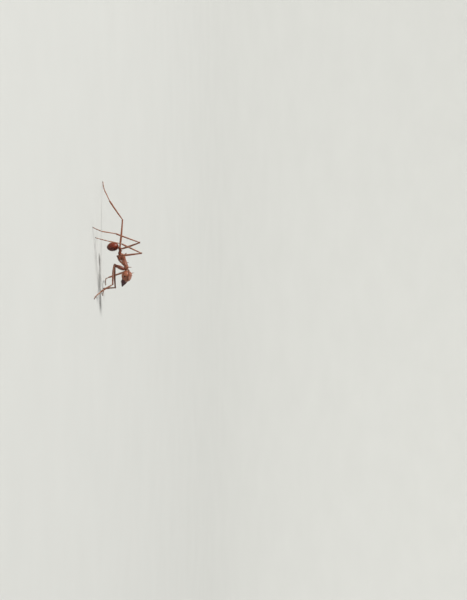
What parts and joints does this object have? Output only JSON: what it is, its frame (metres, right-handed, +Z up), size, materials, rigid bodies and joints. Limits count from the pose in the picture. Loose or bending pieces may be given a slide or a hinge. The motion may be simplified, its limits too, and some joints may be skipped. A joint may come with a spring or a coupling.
{
  "type": "leafcutter ant",
  "caption": "Life-size leafcutter ant worker in full stride, with a heart-shaped spined head, open jaws, long thin legs and a hanging egg-shaped gaster.",
  "frame": {"origin": "on the ground, at the centre of the footprint's bounding box", "axes": "+X forward along the body towards the jaws, +Y to the ant's left, +Z up from the ground it stands on"},
  "size_m": [0.0208, 0.0168, 0.0079],
  "materials": {
    "head_cuticle": "satin",
    "jaw_cuticle": "gloss",
    "eye_facets": "gloss",
    "feeler_cuticle": "satin",
    "trunk_cuticle": "satin",
    "waist_cuticle": "satin",
    "gaster_cuticle": "gloss",
    "coxa_cuticle": "satin",
    "leg_cuticle": "satin",
    "foot_cuticle": "satin"
  },
  "bodies": {
    "root": {"basitarsus_front_l": "foot_cuticle", "basitarsus_front_r": "foot_cuticle", "basitarsus_hind_l": "foot_cuticle", "basitarsus_hind_r": "foot_cuticle", "basitarsus_mid_l": "foot_cuticle", "basitarsus_mid_r": "foot_cuticle", "coxa_front_l": "coxa_cuticle", "coxa_front_r": "coxa_cuticle", "coxa_hind_l": "coxa_cuticle", "coxa_hind_r": "coxa_cuticle", "coxa_mid_l": "coxa_cuticle", "coxa_mid_r": "coxa_cuticle", "eye_l": "eye_facets", "eye_r": "eye_facets", "femur_front_l": "leg_cuticle", "femur_front_r": "leg_cuticle", "femur_hind_l": "leg_cuticle", "femur_hind_r": "leg_cuticle", "femur_mid_l": "leg_cuticle", "femur_mid_r": "leg_cuticle", "funiculus_l": "feeler_cuticle", "funiculus_r": "feeler_cuticle", "gaster": "gaster_cuticle", "head": "head_cuticle", "mandible_l": "jaw_cuticle", "mandible_r": "jaw_cuticle", "mesosoma": "trunk_cuticle", "petiole": "waist_cuticle", "postpetiole": "waist_cuticle", "scape_l": "feeler_cuticle", "scape_r": "feeler_cuticle", "tarsus_front_l": "foot_cuticle", "tarsus_front_r": "foot_cuticle", "tarsus_hind_l": "foot_cuticle", "tarsus_hind_r": "foot_cuticle", "tarsus_mid_l": "foot_cuticle", "tarsus_mid_r": "foot_cuticle", "tibia_front_l": "leg_cuticle", "tibia_front_r": "leg_cuticle", "tibia_hind_l": "leg_cuticle", "tibia_hind_r": "leg_cuticle", "tibia_mid_l": "leg_cuticle", "tibia_mid_r": "leg_cuticle"}
  },
  "joints": []
}
